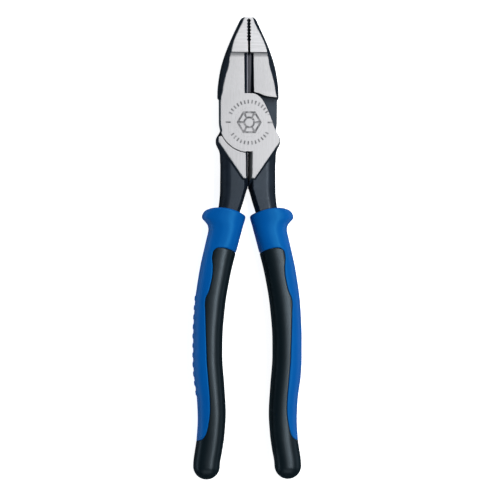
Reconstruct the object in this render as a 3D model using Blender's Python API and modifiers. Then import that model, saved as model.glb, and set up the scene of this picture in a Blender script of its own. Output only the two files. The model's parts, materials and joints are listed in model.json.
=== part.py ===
"""Lineman pliers: two identical forgings lapped and riveted together, each with a two-material grip.

Every shape is laid out in millimetres about the rivet: X to the right, Y towards the nose, Z towards the
viewer, with the mid-plane of the tool at Z = 0. The tool then lies on its back on the ground plane.
"""

import math

import bmesh
import bpy

MM = 0.001

# ---- driving dimensions (mm) ---------------------------------------------------------------------
NOSE_Y = 54.4               # rivet to the tip of the nose
END_Y = -184.2              # rivet to the end of the grips
FACE_Z = 7.94               # half of the 5/8 in head
GRIP_Z = 8.2                # half of the grip's thickness
HUB_R = 15.4                # round hub of the lap joint
HUB_WALL_R = 15.7           # concave wall that the other half's hub turns in
EAR_ANGLE = 333.5           # where that wall ends at the ear, which sets how far the tool can open
LAP_GAP = 0.1               # running gap between the two laps
JAW_GAP = 0.3               # gap between the closed jaws
LAP_STEP = 0.02             # how much more each half is cut back behind the lap
SLOT_HALF = 2.35            # half-width of the slot over the cutting knives
SLOT_TOP, SLOT_BOTTOM = 35.7, 15.0
RIGHT_KNIFE = [(SLOT_HALF, 4.9), (1.55, 3.65), (1.35, 3.45), (0.1, 3.4)]    # its section, as (X, Z)
LEFT_KNIFE = [(SLOT_HALF, 4.9), (1.05, 3.65), (0.85, 3.45), (0.1, 3.4)]
RIVET_R, RIVET_HEAD_R, RIVET_HEAD_Z = 5.4, 7.4, 5.9
RIVET_GAP = 0.08
NOSE_SLIT = 0.58            # half of the opening between the gripping faces
NOSE_WEB = 2.6              # half-thickness of the middle part where the gripping faces meet
TEETH, TOOTH_PITCH, TOOTH_DEPTH, FIRST_TOOTH_Y = 7, 1.66, 0.55, 52.6
CROTCH_GAP = 0.2            # half of the narrowest gap between the halves under the hub
SHELL = 1.8                 # how deep the soft moulding is let into the hard one
SOFT_GAP = 0.25             # gap between the two mouldings
TANG_GAP = 0.2              # gap between tang and sleeve
RIBS, RIB_PITCH, FIRST_RIB_Y, RIB_R, RIB_PROUD, RIB_HALF_Z = 11, 4.9, -90.5, 1.7, 0.4, 3.6
FAR = 90.0                  # well outside the tool, for cutters
ABOVE = 12.0                # a height above the head's faces, for cutters
LAP_FAR, LAP_JOIN = 14.0, 3.0   # how far the bodies that shape the lap reach past it, and into each other
HOLE_REACH = 2.0            # how far the rivet's hole is cut past the head's faces
PAST_MIDDLE = 3.0           # how far the tooth cutter reaches into the empty side of the jaws
RIVET_SIDES, RIB_SIDES = 40, 12
MERGE_M = 1e-6              # points nearer to each other than this, in metres, are one point
FLAT_DEG, SHARP_DEG = 0.3, 28   # faces that meet at less are one face, edges that turn more are shaded sharp

# ---- outlines, each a list of (Y, X) from the nose to the handle's end ---------------------------
HEAD_OUTER = [(54.4, 3.1), (53.9, 3.8), (51.0, 5.3), (48.0, 6.72), (45.7, 7.8), (41.6, 9.6), (37.5, 11.25),
              (33.3, 12.75), (29.2, 13.95), (25.1, 14.8), (21.0, 15.4), (16.8, 15.8), (12.9, 15.87),
              (11.7, 15.2), (6.0, 15.15), (0.0, 15.1), (-2.5, 14.8), (-4.3, 14.4), (-6.0, 15.3),
              (-8.2, 16.5), (-10.0, 16.6), (-12.0, 16.0), (-14.2, 14.9), (-17.0, 14.4), (-36.0, 14.2)]
LEFT_INSET = [(54.4, 1.4), (48.0, 1.55), (42.9, 1.75), (37.5, 2.45), (32.0, 3.0), (28.0, 3.15), (22.2, 2.9),
              (15.0, 2.0), (12.5, 1.2), (11.0, 0.4), (-5.0, 0.45), (-10.0, 0.9), (-36.0, 1.2)]
RIGHT_INSET = [(54.4, 1.9), (48.0, 2.1), (42.9, 2.2), (37.5, 2.4), (32.0, 2.95), (28.0, 3.15), (22.2, 3.0),
               (15.0, 2.2), (12.5, 1.3), (11.0, 0.4), (-5.0, 0.45), (-10.0, 0.9), (-36.0, 1.2)]
FACE_PROFILE = [(58.0, 4.1), (36.2, 7.15), (36.0, 6.5), (35.47, 6.1), (34.66, 5.75), (33.8, 5.55),
                (32.8, 5.48), (16.0, FACE_Z), (-36.5, FACE_Z)]
SIDE_OVER_FACE = 1.25       # height of the quarter ellipse of the head's side over that of the ground face,
SIDE_OVER_INSET = 2.5       # and its width over the inset, so that grinding ends at the inset
SIDE_STEPS = 5
THINNEST_FACE = 4.6         # below this height of the ground face the side gets no thinner
CORE_HALF = 0.1             # half of what is left flat between the two rounded sides where they are widest
HUB_SHOULDER = [(15.4, -0.15), (15.38, 0.5), (14.7, 3.0), (13.3, 5.3), (11.1, 7.2), (8.5, 8.6), (4.6, 10.4),
                (0.7, 11.9), (-2.7, 13.0), (-4.2, 13.6)]
JAW_HEEL = [(13.8, -7.5), (13.2, -10.5), (12.8, -14.1), (11.0, 1 - FAR)]
EAR = [(-7.3, 15.6), (-7.4, FAR - 1)]
LEFT_LAP_Y = -4.25          # where the lap ends on the left, level with the end of the hub's edge there
HUB_LEFT = (270.5, 196.0)   # angles between which the hub's edge runs on the left
WALL_BY_JAW = (90.6, 118.0)     # and those of the concave wall under the jaw and above the handle
WALL_BY_HANDLE = (270.6, EAR_ANGLE)
DIAGONAL = ((14.4, -11.9), (2.65, -28.9))   # outer edge of the ground face above each handle, as (X, Y)
DIAGONAL_END = -28.6        # where that edge turns level and runs to the slot
DIAGONAL_SLOPE = 35.0
NECK_OUTER = [(-8.0, 14.9), (-11.0, 15.0), (-15.0, 14.5), (-22.0, 14.3), (-35.0, 14.4), (-41.0, 14.85),
              (-45.0, 15.4), (-52.0, 15.9), (-62.0, 17.7), (-78.0, 21.0), (-95.0, 23.6), (-112.0, 24.3),
              (-130.0, 23.3), (-148.0, 21.5), (-168.0, 22.2)]
NECK_INNER = [(-8.0, 0.25), (-32.8, 0.25), (-34.2, 0.4), (-35.7, 0.9), (-38.8, 1.8), (-41.0, 2.4),
              (-45.0, 3.7), (-52.0, 5.6), (-62.0, 8.4), (-78.0, 12.8), (-95.0, 15.6), (-112.0, 17.2),
              (-130.0, 16.9), (-148.0, 15.8), (-168.0, 17.6)]
CROTCH_HALF_Z, CROTCH_POWER = 10.0, 3
CROTCH_FLARE = [(-15.0, 1.5), (-26.5, 1.42), (-29.5, 1.0), (-31.5, 0.55), (-33.2, 0.2)]
NECK_HALF_Z = [(-8.0, 6.5), (-32.0, 6.5), (-45.0, 6.1), (-58.0, 5.2), (-80.0, 4.6), (-120.0, 4.0),
               (-168.0, 3.5)]
GRIP_OUTER = [(-44.2, 20.2), (-44.8, 21.4), (-45.5, 22.3), (-46.5, 23.1), (-47.6, 23.6), (-48.6, 23.75),
              (-49.6, 23.4), (-50.7, 22.4), (-51.7, 21.5), (-52.7, 20.85), (-53.8, 20.5), (-54.8, 20.38),
              (-55.9, 20.45), (-58.4, 21.0), (-62.0, 21.85), (-78.0, 25.25), (-95.0, 27.45),
              (-112.0, 28.15), (-122.0, 28.15), (-130.0, 27.75), (-144.0, 26.05), (-153.0, 25.7),
              (-163.0, 26.25), (-177.2, 28.0)]
GRIP_INNER = [(-48.0, 1.15), (-53.4, 2.45), (-61.6, 4.65), (-78.0, 8.85), (-95.0, 11.7), (-112.0, 13.0),
              (-120.0, 13.05), (-136.0, 11.95), (-150.0, 11.2), (-161.0, 11.85), (-169.0, 12.95),
              (-177.2, 14.25)]
GRIP_HALF_Z = [(-47.0, 7.6), (-55.0, 7.65), (-70.0, 7.75), (-110.0, 8.17), (-150.0, 7.85), (-177.2, 7.65)]
GRIP_CROWN = [(-48.0, 2.0), (-50.0, 1.6), (-53.0, 0.9), (-57.0, 0.2), (-62.0, 0.6), (-67.35, 2.9),
              (-71.0, 2.2), (-80.0, 0.0), (-177.2, 0.0)]
GRIP_LEAN = [(-48.0, 3.75), (-50.5, 3.1), (-55.0, 1.5), (-59.0, 0.5), (-63.0, 0.0), (-177.2, 0.0)]
OUTER_FULLER = -0.05        # share by which the grip is thicker on its outer side
SOFT_EDGE = [(-67.35, 0.22), (-67.9, 0.36), (-68.9, 0.43), (-71.0, 0.42), (-75.0, 0.27), (-79.0, 0.21),
             (-84.0, 0.23), (-87.0, 0.28), (-90.0, 0.41), (-92.5, 0.43), (-97.0, 0.36), (-105.0, 0.26),
             (-112.0, 0.20), (-130.0, 0.13), (-140.0, 0.16), (-148.0, 0.20), (-154.0, 0.29), (-159.5, 0.42),
             (-162.0, 0.58), (-163.2, 0.76), (-163.8, 0.95)]
SOFT_TOP = SOFT_EDGE[0][0]
COLLAR_TOP, COLLAR_ROUND = -48.0, 0.8
GRIP_BASE_Y = -177.2        # where the rounded end of the grip starts
END_LENGTH = GRIP_BASE_Y - END_Y
SECTION_POWER = 2.4         # superellipse power of the grip's section
ALL_SOFT = 4                # the edge's angle in degrees where the soft moulding goes round the whole grip
CORE_TOP = (-62.0, -66.0)   # heights above the soft moulding at which the core that it is cut by starts
CORE_PROUD = 1.0            # how far that core stands out of the grip
CORE_ANGLE = 1.6            # degrees by which that core is wider, for the gap beside the edge
CORE_LOW_Y = -150           # below this the core is lowered too, for the gap under the hard moulding

# ---- placing -------------------------------------------------------------------------------------
RIVET_Y = -(NOSE_Y + END_Y) / 2
MID_Z = GRIP_Z


def smooth(points, y):
    """Smooth value at y through (y, value) pairs in falling order of y."""
    if y >= points[0][0]:
        return points[0][1]
    if y <= points[-1][0]:
        return points[-1][1]
    i = next(k for k in range(len(points) - 1) if points[k + 1][0] <= y)

    def slope(k):
        if k in (0, len(points) - 1):
            return 0.0
        before = (points[k][1] - points[k - 1][1]) / (points[k][0] - points[k - 1][0])
        after = (points[k + 1][1] - points[k][1]) / (points[k + 1][0] - points[k][0])
        return 0.0 if before * after <= 0 else 2 * before * after / (before + after)

    (y0, v0), (y1, v1) = points[i], points[i + 1]
    h = y1 - y0
    t = (y - y0) / h
    return (v0 * (1 + 2 * t) * (1 - t) ** 2 + slope(i) * h * t * (1 - t) ** 2
            + v1 * t * t * (3 - 2 * t) + slope(i + 1) * h * t * t * (t - 1))


def arc(radius, start, end, steps):
    """Points on a circle about the rivet, from one angle to another in degrees."""
    angles = [math.radians(start + (end - start) * k / steps) for k in range(steps + 1)]
    return [(radius * math.cos(a), radius * math.sin(a)) for a in angles]


# ---- Blender helpers -----------------------------------------------------------------------------
def clear_scene():
    for obj in list(bpy.data.objects):
        bpy.data.objects.remove(obj)


def collection(name):
    made = bpy.data.collections.new(name)
    bpy.context.scene.collection.children.link(made)
    return made


def material(name, colour, roughness, metallic):
    made = bpy.data.materials.new(name)
    made.use_nodes = True
    shader = made.node_tree.nodes["Principled BSDF"]
    shader.inputs["Base Color"].default_value = (*colour, 1.0)
    shader.inputs["Roughness"].default_value = roughness
    shader.inputs["Metallic"].default_value = metallic
    return made


def finish_mesh(name, bm):
    bmesh.ops.remove_doubles(bm, verts=bm.verts, dist=MERGE_M)
    bmesh.ops.recalc_face_normals(bm, faces=bm.faces)
    mesh = bpy.data.meshes.new(name)
    bm.to_mesh(mesh)
    bm.free()
    return mesh


def helper(name, mesh):
    """A cutter or a blank: an object that Booleans use and that isn't part of the model."""
    obj = bpy.data.objects.new(name, mesh)
    obj.hide_render = True
    obj.display_type = "WIRE"
    HELPERS.objects.link(obj)
    return obj


def loft(name, rings, flat_ends=False):
    """A closed solid through rings of points that are symmetric about Z = 0 and start on that plane.
    Ends that aren't flat are closed by strips that run straight across from +Z to -Z."""
    bm = bmesh.new()
    rows = [[bm.verts.new([c * MM for c in p]) for p in ring] for ring in rings]
    count = len(rings[0])
    for a, b in zip(rows, rows[1:]):
        for k in range(count):
            n = (k + 1) % count
            bm.faces.new((a[k], a[n], b[n], b[k]))
    for row in (rows[0], rows[-1]):
        if flat_ends:
            bm.faces.new(row)
            continue
        for k in range(count // 2):
            corners = (row[k], row[k + 1], row[-(k + 1)], row[-k] if k else row[0])
            bm.faces.new(list(dict.fromkeys(corners)))
    return helper(name, finish_mesh(name, bm))


def prism(name, outline, low, high):
    """A flat outline of (X, Y) points made solid from Z = low to Z = high."""
    curve = bpy.data.curves.new(name, "CURVE")
    curve.dimensions = "2D"
    curve.fill_mode = "BOTH"
    curve.extrude = (high - low) / 2 * MM
    spline = curve.splines.new("POLY")
    spline.points.add(len(outline) - 1)
    for point, (x, y) in zip(spline.points, outline):
        point.co = (x * MM, y * MM, 0, 1)
    spline.use_cyclic_u = True
    flat = bpy.data.objects.new(name, curve)
    HELPERS.objects.link(flat)
    bpy.context.view_layer.update()
    mesh = bpy.data.meshes.new_from_object(flat.evaluated_get(bpy.context.evaluated_depsgraph_get()))
    bpy.data.objects.remove(flat)
    bm = bmesh.new()
    bm.from_mesh(mesh)
    bmesh.ops.translate(bm, verts=bm.verts, vec=(0, 0, (high + low) / 2 * MM))
    return helper(name, finish_mesh(name, bm))


def bar(name, section, start, end, turn=0.0, at=(0.0, 0.0)):
    """A section of (across, Z) points run along Y from start to end, then turned about Z and moved."""
    bm = bmesh.new()
    rows = [[bm.verts.new((x * MM, y * MM, z * MM)) for x, z in section] for y in (start, end)]
    for k in range(len(section)):
        n = (k + 1) % len(section)
        bm.faces.new((rows[0][k], rows[0][n], rows[1][n], rows[1][k]))
    for row in rows:
        bm.faces.new(row)
    mesh = finish_mesh(name, bm)
    obj = helper(name, mesh)
    obj.rotation_euler.z = math.radians(turn)
    obj.location = (at[0] * MM, at[1] * MM, 0)
    return obj


def turned(name, profile, sides):
    """A solid of revolution about Z from (radius, Z) points, listed from top to bottom on the +X side."""
    mesh = bpy.data.meshes.new(name)
    points = [(r * MM, 0, z * MM) for r, z in profile]
    mesh.from_pydata(points, [(k, k + 1) for k in range(len(points) - 1)], [])
    obj = helper(name, mesh)
    screw = obj.modifiers.new("turn", "SCREW")
    screw.axis = "Z"
    screw.steps = screw.render_steps = sides
    screw.use_merge_vertices = True
    screw.merge_threshold = 10 * MERGE_M
    return helper(name, baked(obj))


def combine(target, other, operation):
    step = target.modifiers.new(operation.lower(), "BOOLEAN")
    step.operation = operation
    step.object = other
    step.solver = "EXACT"


def baked(obj):
    """The object's evaluated mesh, and the object itself removed."""
    bpy.context.view_layer.update()
    mesh = bpy.data.meshes.new_from_object(obj.evaluated_get(bpy.context.evaluated_depsgraph_get()))
    name = obj.name
    bpy.data.objects.remove(obj)
    mesh.name = name
    return mesh


def tidy(mesh):
    """Merges the flat faces that Booleans split, and shades round sides smooth."""
    bm = bmesh.new()
    bm.from_mesh(mesh)
    bmesh.ops.remove_doubles(bm, verts=bm.verts, dist=2 * MERGE_M)
    bmesh.ops.dissolve_limit(bm, angle_limit=math.radians(FLAT_DEG), verts=bm.verts, edges=bm.edges)
    bm.to_mesh(mesh)
    bm.free()
    mesh.shade_smooth()
    mesh.set_sharp_from_angle(angle=math.radians(SHARP_DEG))
    return mesh


def place(name, mesh, arm, look, half_turn=False):
    obj = bpy.data.objects.new(name, mesh)
    obj.parent = arm
    obj.rotation_euler.y = math.pi if half_turn else 0.0
    if not mesh.materials:
        mesh.materials.append(look)
    PLIERS.objects.link(obj)
    return obj


def arm_empty(name):
    """An empty on the rivet's axis, which one half and its grip hang from."""
    empty = bpy.data.objects.new(name, None)
    empty.location = (0, RIVET_Y * MM, MID_Z * MM)
    PLIERS.objects.link(empty)
    return empty


# ---- steel ---------------------------------------------------------------------------------------
def side_arc(side, round_x, half_z, steps):
    """Half of a section's side from Z = 0 up: a quarter ellipse that ends round_x inside the side."""
    angles = [math.radians(90 * k / steps) for k in range(steps + 1)]
    return [(side - round_x * (1 - math.cos(a)), half_z * math.sin(a)) for a in angles]


def inner_side(side, slope_x, half_z):
    """Half of a neck's inner side from Z = 0 up: a nearly flat wall that leans back, and a rounded edge."""
    wall = [(side + slope_x * (k / 3) ** WALL_CURVE, WALL_SHARE * half_z * k / 3) for k in range(4)]
    top = side + slope_x
    return wall + [(top + WALL_EDGE / 3, (1 + WALL_SHARE) / 2 * half_z), (top + WALL_EDGE, half_z)]


def section_ring(y, outer, inner):
    """A closed ring at y from the upper halves of its outer and inner sides."""
    upper = outer + inner[::-1]
    lower = [(x, -z) for x, z in upper[1:-1]][::-1]
    return [(x, y, z) for x, z in upper + lower]


def head_blank():
    """Both heads as one barrel-sided body, before the faces are ground flat."""
    rings = []
    for y in [p[0] for p in HEAD_OUTER]:
        half = SIDE_OVER_FACE * max(smooth(FACE_PROFILE, y), THINNEST_FACE)
        side = smooth(HEAD_OUTER, y)
        widest = side - CORE_HALF
        left, right = (side_arc(side, min(SIDE_OVER_INSET * smooth(inset, y), widest), half, SIDE_STEPS)
                       for inset in (LEFT_INSET, RIGHT_INSET))
        front = (right + [(-x, z) for x, z in left[::-1]])[:-1]
        rings.append([(x, y, z) for x, z in front] + [(-x, y, -z) for x, z in front])
    return loft("head_blank", rings, flat_ends=True)


NECK_STATIONS = [-8, -12, -15, -18.5, -22, -28, -32.8, -34.2, -35.7, -38.8, -41, -45, -52, -60, -70, -80,
                 -90, -100, -112, -124, -136, -148, -158, -166]
TANG_END_Y = -168
POCKET_TOP = -37            # above the sleeve, where the pocket for the tang starts
TIP_ROUND = 0.7
NECK_ROUND, NECK_ROUND_SHARE = 5.5, 0.42    # width of the rounded outer side, and its largest share
NECK_LEAN, NECK_LEAN_SHARE = 1.5, 0.2       # the same for how far the inner wall leans back
WALL_SHARE, WALL_CURVE, WALL_EDGE = 0.88, 1.6, 0.7


def neck_blank(grow=0.0):
    """The right neck and tang, or with grow the pocket that the tang sits in."""
    stations = [y for y in NECK_STATIONS if not grow or y <= POCKET_TOP] + [TANG_END_Y - grow]
    rings = []
    for y in stations:
        tip = TIP_ROUND if y == TANG_END_Y else 0.0
        out_x, in_x = smooth(NECK_OUTER, y) + grow - tip, smooth(NECK_INNER, y) - grow + tip
        half = smooth(NECK_HALF_Z, y) + grow - tip
        wide = out_x - in_x
        outer = side_arc(out_x, min(NECK_ROUND, wide * NECK_ROUND_SHARE), half, SIDE_STEPS)
        inner = inner_side(in_x, min(NECK_LEAN, wide * NECK_LEAN_SHARE), half)
        rings.append(section_ring(y, outer, inner))
    return loft("neck_blank", rings)


def face_grinding():
    """Everything between the two ground faces: a side profile run across the tool."""
    section = FACE_PROFILE + [(y, -z) for y, z in FACE_PROFILE[::-1]]
    return bar("face_grinding", section, -FAR, FAR, turn=90)


def front_plan():
    """What the front half covers on the viewer's side of the lap: left jaw, hub and right handle."""
    gap = JAW_GAP / 2
    shoulder = [(x, y) for y, x in HUB_SHOULDER]
    return ([(-gap, FAR)] + shoulder + [(FAR, shoulder[-1][1]), (FAR, 2 * END_Y), (gap, 2 * END_Y)]
            + arc(HUB_R, *HUB_LEFT, 20) + [(-FAR, LEFT_LAP_Y), (-FAR, FAR)])


def jaw_plan():
    """What the front half's jaw covers behind the lap."""
    gap = JAW_GAP / 2 + LAP_STEP
    return ([(-gap, FAR - 1)] + arc(HUB_WALL_R, *WALL_BY_JAW, 6) + [(x, y) for y, x in JAW_HEEL]
            + [(1 - FAR, FAR - 1)])


def handle_plan():
    """What the front half's handle covers behind the lap."""
    gap = JAW_GAP / 2 + LAP_STEP
    return (arc(HUB_WALL_R, *WALL_BY_HANDLE, 16) + [(x, y) for y, x in EAR]
            + [(FAR - 1, 2 * END_Y + 1), (gap, 2 * END_Y + 1)])


def slope_cutter(turn, at):
    """A slope down from the ground face on both faces, along a line through at."""
    start, end = (z * math.tan(math.radians(DIAGONAL_SLOPE)) for z in (FACE_Z - ABOVE, FACE_Z))
    section = [(start, ABOVE), (end, 0), (start, -ABOVE), (FAR, -ABOVE), (FAR, ABOVE)]
    return bar("slope_cutter", section, -FAR, FAR, turn=turn, at=at)


def neck_slopes():
    """The slopes from the ground face down to the right neck: a diagonal one and a short level one."""
    (x0, y0), (x1, y1) = DIAGONAL
    angle = math.degrees(math.atan2(y1 - y0, x1 - x0)) + 90
    return [slope_cutter(angle, (x0, y0)), slope_cutter(-90, (0, DIAGONAL_END))]


def knife_slot():
    """The slot between the jaws, which leaves a cutting knife with a narrow bevel on each."""
    side = [(SLOT_HALF, ABOVE), *RIGHT_KNIFE] + [(x, -z) for x, z in LEFT_KNIFE[::-1]] + [(SLOT_HALF, -ABOVE)]
    return bar("knife_slot", side + [(-x, -z) for x, z in side], SLOT_BOTTOM, SLOT_TOP)


def crotch_slot():
    """The slot under the hub: each inner side bulges towards the other at mid-thickness."""
    heights = [CROTCH_HALF_Z * k / 6 for k in range(7)]
    rings = []
    for y, flare in CROTCH_FLARE:
        side = [(CROTCH_GAP + flare * (z / FACE_Z) ** CROTCH_POWER, z) for z in heights]
        rings.append(section_ring(y, side, [(-x, z) for x, z in side]))
    return loft("crotch_slot", rings, flat_ends=True)


def tooth_cutter(low, high):
    """The opening between the gripping faces, with the grooves across the left jaw's one."""
    top = FIRST_TOOTH_Y + TOOTH_PITCH / 2
    outline = [(PAST_MIDDLE, top), (-NOSE_SLIT, top)]
    for k in range(TEETH):
        y = FIRST_TOOTH_Y - k * TOOTH_PITCH
        outline += [(-NOSE_SLIT - TOOTH_DEPTH, y), (-NOSE_SLIT, y - TOOTH_PITCH / 2)]
    outline += [(-NOSE_SLIT, SLOT_TOP - 1), (PAST_MIDDLE, SLOT_TOP - 1)]
    return prism("tooth_cutter", outline, low, high)


def spool_profile(grow, reach):
    """The rivet's outline, or with grow the hole for it: a shank between two countersunk heads."""
    slope = (RIVET_HEAD_R - RIVET_R) / (FACE_Z - RIVET_HEAD_Z)
    top_r = RIVET_HEAD_R + grow + (reach - FACE_Z) * slope
    return [(0, reach), (top_r, reach), (RIVET_R + grow, RIVET_HEAD_Z), (RIVET_R + grow, -RIVET_HEAD_Z),
            (top_r, -reach), (0, -reach)]


def half_forging():
    """One forging. Turned half a turn about the tool's long axis, the same mesh is the other one."""
    body = head_blank()
    combine(body, face_grinding(), "INTERSECT")
    for slope in neck_slopes():
        combine(body, slope, "DIFFERENCE")
    combine(body, neck_blank(), "UNION")
    keep = prism("keep", front_plan(), LAP_GAP / 2, LAP_FAR)
    combine(keep, prism("keep_jaw", jaw_plan(), -LAP_FAR, LAP_JOIN), "UNION")
    combine(keep, prism("keep_handle", handle_plan(), -LAP_FAR, LAP_JOIN), "UNION")
    body = helper("forging", baked(body))
    keep = helper("keep_all", baked(keep))
    combine(body, keep, "INTERSECT")
    teeth = [tooth_cutter(NOSE_WEB, ABOVE), tooth_cutter(-ABOVE, -NOSE_WEB)]
    hole = turned("rivet_hole", spool_profile(RIVET_GAP, FACE_Z + HOLE_REACH), RIVET_SIDES)
    for cutter in (knife_slot(), crotch_slot(), *teeth, hole):
        combine(body, cutter, "DIFFERENCE")
    return tidy(baked(body))


def rivet():
    return tidy(baked(turned("rivet_blank", spool_profile(0.0, FACE_Z), RIVET_SIDES)))


# ---- grips ---------------------------------------------------------------------------------------
def power(value):
    return math.copysign(abs(value) ** (2 / SECTION_POWER), value)


def grip_point(y, angle, offset, tip=0.0):
    """A point of the grip's surface moved out by offset: angle 0 is the outer side and 90 the front.
    Past the base of the rounded end, tip is the angle in degrees round that end."""
    lean = smooth(GRIP_LEAN, y)
    out_x, in_x = smooth(GRIP_OUTER, y + lean), smooth(GRIP_INNER, y)
    centre, half_x, half_z = (out_x + in_x) / 2, (out_x - in_x) / 2, smooth(GRIP_HALF_Z, y)
    turn, end = math.radians(angle), math.radians(tip)
    x = centre + (half_x + offset) * power(math.cos(turn)) * math.cos(end)
    fuller = 1 + OUTER_FULLER * power(math.cos(turn))
    z = (half_z + offset) * fuller * power(math.sin(turn)) * math.cos(end)
    share = min(1.0, max(0.0, (x - in_x) / (out_x - in_x)))
    drop = (END_LENGTH + offset) * math.sin(end)
    return (x, y - drop + lean * share + smooth(GRIP_CROWN, y) * 4 * share * (1 - share), z)


def edge_angle(y):
    """Where the soft moulding's edge runs on the section at y."""
    share = smooth(SOFT_EDGE, y)
    return math.degrees(math.acos(share ** (SECTION_POWER / 2)))


def grip_ring(y, shown, sunk, edge, shift=0.0, tip=0.0, steps=(3, 8)):
    """A section of the grip: shown is its offset on the hard moulding's side of the edge, and sunk is its
    offset on the soft one's."""
    edge = max(ALL_SOFT, edge + shift)
    arcs = [grip_point(y, edge * k / steps[0], shown, tip) for k in range(steps[0] + 1)]
    arcs += [grip_point(y, edge + (180 - edge) * k / steps[1], sunk, tip) for k in range(steps[1] + 1)]
    lower = [(px, py, -pz) for px, py, pz in arcs[1:-1]][::-1]
    return arcs + lower


BODY_STATIONS = [-49.7, -50.5, -51.3, -52.1, -52.9, -53.7, -54.6, -55.6, -57.0, -59.5, -63.0]
SOFT_STATIONS = [-67.35, -67.9, -69.5, -72.5, -76, -80, -84, -87, -90, -94, -99, -105, -112, -120, -129,
                 -138, -147, -154, -159.5, -162.0, -163.2, -163.8]
LOW_STATIONS = [-164.1, -170.0, -177.2]
END_ANGLES = [25, 48, 66, 80]


def collar_rings():
    """The collar's rounded top edge, from its flat top down to the full section."""
    rings = []
    for turn in (90, 45, 0):
        a = math.radians(turn)
        inset = -COLLAR_ROUND * (1 - math.cos(a))
        y = COLLAR_TOP - COLLAR_ROUND * (1 - math.sin(a))
        rings.append(grip_ring(y, inset, inset, edge_angle(SOFT_TOP)))
    return rings


def sleeve_blank():
    rings = collar_rings() + [grip_ring(y, 0, 0, edge_angle(SOFT_TOP)) for y in BODY_STATIONS]
    rings.append(grip_ring(SOFT_TOP + SOFT_GAP, 0, 0, edge_angle(SOFT_TOP)))
    for y in SOFT_STATIONS:
        rings.append(grip_ring(y if y < SOFT_TOP else SOFT_TOP + SOFT_GAP, 0, -SHELL, edge_angle(y)))
    rings += [grip_ring(y, -SHELL, -SHELL, ALL_SOFT) for y in LOW_STATIONS]
    rings += [grip_ring(GRIP_BASE_Y, -SHELL, -SHELL, ALL_SOFT, tip=tip) for tip in END_ANGLES]
    return loft("sleeve_blank", rings)


def soft_blank():
    rings = [grip_ring(y, 0, 0, edge_angle(y)) for y in SOFT_STATIONS]
    rings += [grip_ring(y, 0, 0, ALL_SOFT) for y in LOW_STATIONS]
    rings += [grip_ring(GRIP_BASE_Y, 0, 0, ALL_SOFT, tip=tip) for tip in END_ANGLES]
    return loft("soft_blank", rings)


def soft_core():
    """What the soft moulding leaves free: the hard moulding, larger by the gap between them."""
    sunk = SOFT_GAP - SHELL
    rings = [grip_ring(y, CORE_PROUD, sunk, edge_angle(SOFT_TOP), CORE_ANGLE) for y in CORE_TOP]
    lowered = [(y - SOFT_GAP if y < CORE_LOW_Y else y, edge_angle(y)) for y in SOFT_STATIONS]
    rings += [grip_ring(y, CORE_PROUD, sunk, edge, CORE_ANGLE) for y, edge in lowered]
    rings += [grip_ring(y - SOFT_GAP, sunk, sunk, ALL_SOFT) for y in LOW_STATIONS[:-1]]
    rings += [grip_ring(GRIP_BASE_Y, sunk, sunk, ALL_SOFT, tip=tip) for tip in [0, *END_ANGLES]]
    return loft("soft_core", rings)


def rib_cutters():
    """Round bars sunk into the outer side of the grip, which stand proud of it as ribs."""
    bars = []
    for k in range(RIBS):
        y = FIRST_RIB_Y - k * RIB_PITCH
        x = smooth(GRIP_OUTER, y) + RIB_PROUD - RIB_R
        angles = [math.radians(360 * a / RIB_SIDES) for a in range(RIB_SIDES)]
        outline = [(x + RIB_R * math.cos(a), y + RIB_R * math.sin(a)) for a in angles]
        bars.append(prism(f"rib_{k}", outline, -RIB_HALF_Z, RIB_HALF_Z))
    return bars


def hard_sleeve(ribbed):
    body = sleeve_blank()
    if ribbed:
        for rib in rib_cutters():
            combine(body, rib, "UNION")
    combine(body, neck_blank(TANG_GAP), "DIFFERENCE")
    return tidy(baked(body))


def soft_overmold():
    body = soft_blank()
    combine(body, soft_core(), "DIFFERENCE")
    return tidy(baked(body))


# ---- the tool ------------------------------------------------------------------------------------
clear_scene()
PLIERS = collection("lineman_pliers")
HELPERS = collection("cutters")

STEEL = material("ground_forging", (0.62, 0.62, 0.64), 0.32, 1.0)
RIVET_STEEL = material("rivet_steel", (0.66, 0.66, 0.68), 0.28, 1.0)
BLUE = material("blue_hard_grip", (0.01, 0.12, 0.42), 0.35, 0.0)
BLACK = material("black_soft_grip", (0.02, 0.025, 0.03), 0.5, 0.0)

front_arm = arm_empty("front_arm")
rear_arm = arm_empty("rear_arm")
forging = half_forging()
place("front_half", forging, front_arm, STEEL)
place("rear_half", forging, rear_arm, STEEL, half_turn=True)
place("joint_rivet", rivet(), rear_arm, RIVET_STEEL)
soft = soft_overmold()
place("right_grip_sleeve", hard_sleeve(False), front_arm, BLUE)
place("right_grip_overmold", soft, front_arm, BLACK)
place("left_grip_sleeve", hard_sleeve(True), rear_arm, BLUE, half_turn=True)
place("left_grip_overmold", soft, rear_arm, BLACK, half_turn=True)
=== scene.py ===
"""Looks for the lineman pliers: finished steel, hard and soft grip mouldings, studio and camera.

Shapes are laid out in millimetres about the rivet, with the mid-plane of the tool at Z = 0, and then moved to
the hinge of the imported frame. X is to the right, Y towards the nose and Z towards the viewer.
"""

import json
import math

import bmesh
import bpy
from mathutils import Matrix, Vector

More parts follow.
